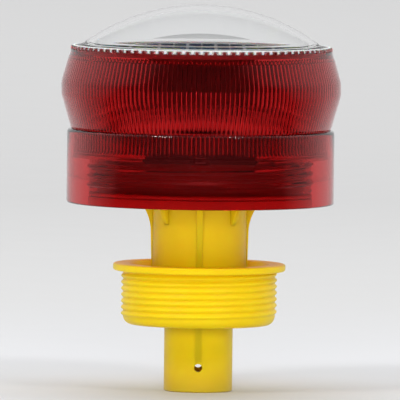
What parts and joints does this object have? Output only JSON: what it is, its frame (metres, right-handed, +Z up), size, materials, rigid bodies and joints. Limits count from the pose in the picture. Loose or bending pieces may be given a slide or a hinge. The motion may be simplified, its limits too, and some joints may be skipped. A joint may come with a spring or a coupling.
{
  "type": "barricade warning light",
  "caption": "Round red lens head with a solar panel under a clear dome, screwed onto a hollow yellow stem whose swivelling threaded collar screws into a barrier's filler hole.",
  "frame": {"origin": "centre of the stem's foot, on the plane it stands on", "axes": "+Z up along the stem's axis towards the dome; the stem's cross hole runs along Y"},
  "size_m": [0.1082, 0.1082, 0.1494],
  "materials": {
    "yellow_plastic": "moulded, satin gloss",
    "red_lens": "clear red moulded plastic, polished",
    "clear_dome": "clear moulded plastic, polished",
    "white_plastic": "moulded, satin",
    "black_plastic": "moulded, fine grain",
    "seal_rubber": "matt",
    "clear_silicone": "soft, translucent",
    "zinc_steel": "zinc plated",
    "red_plastic": "moulded, opaque, satin gloss",
    "red_silicone": "soft moulded seal",
    "solar_silicon": "polycrystalline, dark blue, glossy",
    "silver_print": "printed silver",
    "board_green": "solder resist",
    "board_dark": "dark laminate",
    "board_white": "solder resist",
    "cell_sleeve": "shrink sleeve over a metal can",
    "light_epoxy": "clear epoxy",
    "gold_contact": "plated",
    "wire_red": "insulated wire",
    "wire_black": "insulated wire",
    "chip_black": "moulded epoxy",
    "capacitor_can": "sleeved can",
    "foam": "closed-cell foam"
  },
  "bodies": {
    "base": {"stem": "yellow_plastic", "retaining_ring": "zinc_steel", "base_plug": "red_plastic", "stem_screws": "zinc_steel", "battery_holder": "black_plastic", "battery_cells": "cell_sleeve", "battery_contacts": "zinc_steel", "battery_cover": "black_plastic", "holder_screws": "zinc_steel", "contact_springs": "zinc_steel", "switch_body": "black_plastic", "switch_wires": "wire_red"},
    "collar": {"threaded_collar": "yellow_plastic"},
    "seal": {"base_seal": "red_silicone"},
    "button": {"mode_button": "seal_rubber", "switch_plunger": "white_plastic"},
    "head": {"lower_ring": "red_lens", "upper_lens": "red_lens", "clear_dome": "clear_dome", "dome_gasket": "clear_silicone", "panel_bezel": "white_plastic", "solar_substrate": "board_dark", "solar_cells": "solar_silicon", "cell_busbars": "silver_print", "foam_pad": "foam", "driver_box": "black_plastic", "driver_box_lid": "black_plastic", "lid_screws": "zinc_steel", "circuit_board": "board_green", "board_screws": "zinc_steel", "controller_chip": "chip_black", "capacitors": "capacitor_can", "inductor": "chip_black", "panel_wire_red": "wire_red", "panel_wire_black": "wire_black", "led_board": "board_white", "led_bodies": "light_epoxy", "led_leads": "zinc_steel", "photo_sensor": "chip_black", "contact_pads": "gold_contact"}
  },
  "joints": [
    {"name": "collar_spin", "type": "hinge", "parent": "base", "child": "collar", "pos_m": [0, 0, 0.0257], "axis": [0, 0, 1], "continuous": true},
    {"name": "head_turn", "type": "hinge", "parent": "base", "child": "seal", "pos_m": [0, 0, 0.077], "axis": [0, 0, 1], "range_deg": [0, 1440]},
    {"name": "head_lift", "type": "slide", "parent": "seal", "child": "head", "axis": [0, 0, 1], "range_m": [0, 0.0131]},
    {"name": "button_press", "type": "slide", "parent": "base", "child": "button", "axis": [0, 0, 1], "range_m": [0, 0.0012], "stiffness_N_per_m": 600, "springref_m": -0.0008}
  ],
  "couplings": [
    {"joint": "head_lift", "follows": "head_turn", "m_per_rad": 0.00052044}
  ]
}
